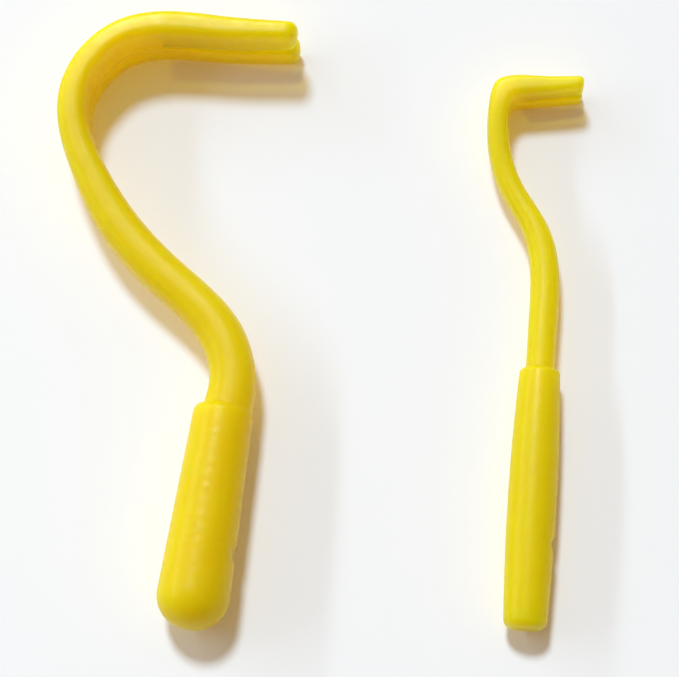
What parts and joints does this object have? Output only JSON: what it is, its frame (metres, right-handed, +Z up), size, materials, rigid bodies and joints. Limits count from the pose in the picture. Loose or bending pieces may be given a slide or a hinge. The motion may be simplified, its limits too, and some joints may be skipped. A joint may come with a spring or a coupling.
{
  "type": "tick removal hook set",
  "caption": "Moulded plastic tick-removal hooks, a larger and a smaller one, each with a round handle, a swan neck and a bent arm forked by a narrow V-slot.",
  "frame": {"origin": "middle of the set's footprint, on the surface the hooks lie on", "axes": "+Y from the handles' butt ends towards the forks, +X the way the forks point, +Z up from the surface"},
  "size_m": [0.0442, 0.052, 0.0062],
  "materials": {
    "yellow_plastic": "glossy injection-moulded plastic, slightly translucent yellow"
  },
  "bodies": {
    "large": {"large_hook": "yellow_plastic"},
    "small": {"small_hook": "yellow_plastic"}
  },
  "joints": [
    {"name": "small_hook_lift", "type": "slide", "parent": "large", "child": "small", "axis": [0, 0, 1], "range_m": [0, 0.03]}
  ]
}
